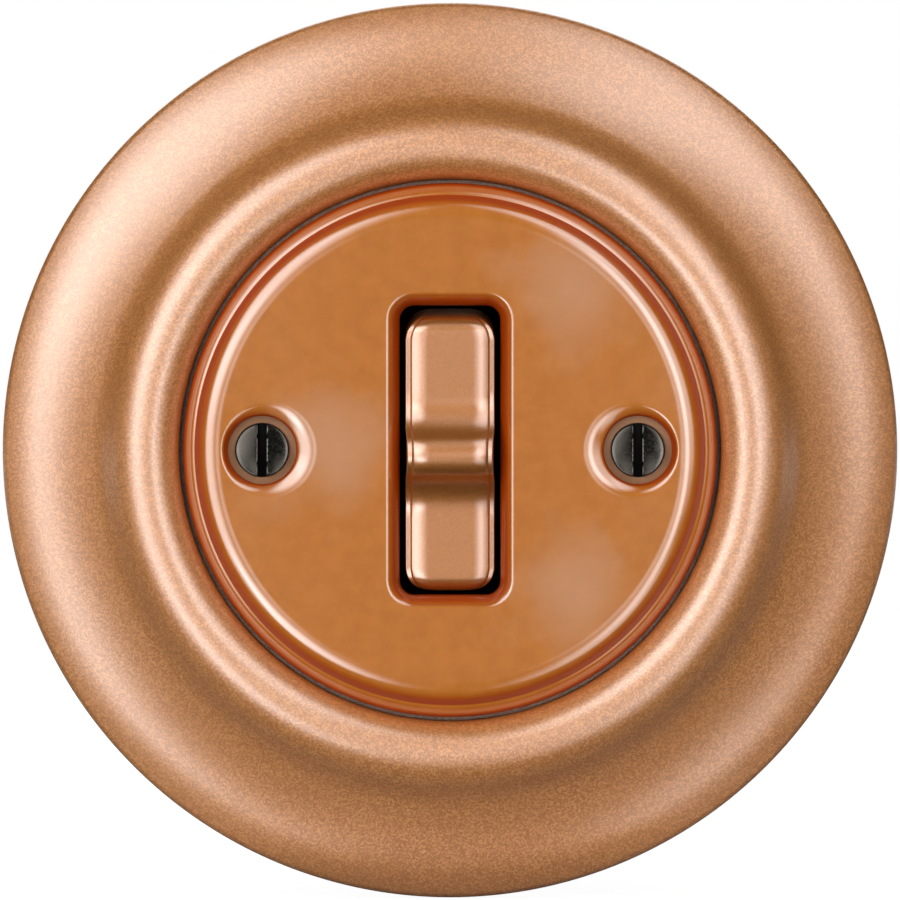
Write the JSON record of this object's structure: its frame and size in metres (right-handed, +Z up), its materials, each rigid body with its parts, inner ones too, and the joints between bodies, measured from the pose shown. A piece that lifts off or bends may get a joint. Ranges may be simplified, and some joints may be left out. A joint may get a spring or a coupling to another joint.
{
  "type": "porcelain toggle switch",
  "caption": "Round flush-mounted toggle light switch: copper-lustre porcelain frame, brown glazed cover, slotted screws and a ridged rocker lever over a see-saw contact.",
  "frame": {"origin": "middle of the switch on the wall plane, where the back of the mounting plate and of the porcelain frame lie", "axes": "+Z up the wall, -Y out of the wall towards the user, +X to the user's right"},
  "size_m": [0.1, 0.0371, 0.1],
  "materials": {
    "copper_lustre": "satin metallic copper lustre with a fine grain",
    "brown_glaze": "glossy caramel-brown glaze",
    "black_steel": "blackened steel, worn along the slot",
    "copper_lever": "satin copper lacquer",
    "cradle_plastic": "black moulded plastic",
    "plunger_plastic": "natural moulded plastic",
    "steel": "zinc-plated steel",
    "plate_steel": "stamped zinc-plated steel",
    "contact_brass": "stamped brass",
    "contact_silver": "silver contact rivet",
    "base_moulding": "black thermoset moulding",
    "housing_moulding": "black thermoset moulding"
  },
  "bodies": {
    "housing": {"frame_ring": "copper_lustre", "cover_plate": "brown_glaze", "cover_screws": "black_steel", "pivot_pin": "black_steel", "common_contact": "contact_brass", "upper_contact": "contact_brass", "lower_contact": "contact_brass", "upper_contact_tip": "contact_silver", "lower_contact_tip": "contact_silver", "upper_terminal": "contact_brass", "lower_terminal": "contact_brass", "common_terminal": "contact_brass", "terminal_screws": "steel", "base": "base_moulding", "front_housing": "housing_moulding", "mounting_plate": "plate_steel", "base_screws": "steel"},
    "rocker": {"rocker_lever": "copper_lever", "rocker_cradle": "cradle_plastic", "plunger_spring": "steel"},
    "plunger": {"plunger": "plunger_plastic"},
    "seesaw": {"contact_seesaw": "contact_brass", "seesaw_tips": "contact_silver"}
  },
  "joints": [
    {"name": "rocker_tilt", "type": "hinge", "parent": "housing", "child": "rocker", "pos_m": [0, -0.007, 0], "axis": [-1, 0, 0], "range_deg": [0, 10]},
    {"name": "plunger_slide", "type": "slide", "parent": "rocker", "child": "plunger", "axis": [0, -0.9962, -0.0872], "range_m": [0, 0.0008], "stiffness_N_per_m": 300, "springref_m": -0.002, "deforming": ["plunger_spring"]},
    {"name": "seesaw_tilt", "type": "hinge", "parent": "housing", "child": "seesaw", "pos_m": [0, 0.0063, 0], "axis": [-1, 0, 0], "range_deg": [-18, 0]}
  ],
  "couplings": [
    {"joint": "seesaw_tilt", "follows": "rocker_tilt", "ratio": -1.8}
  ]
}
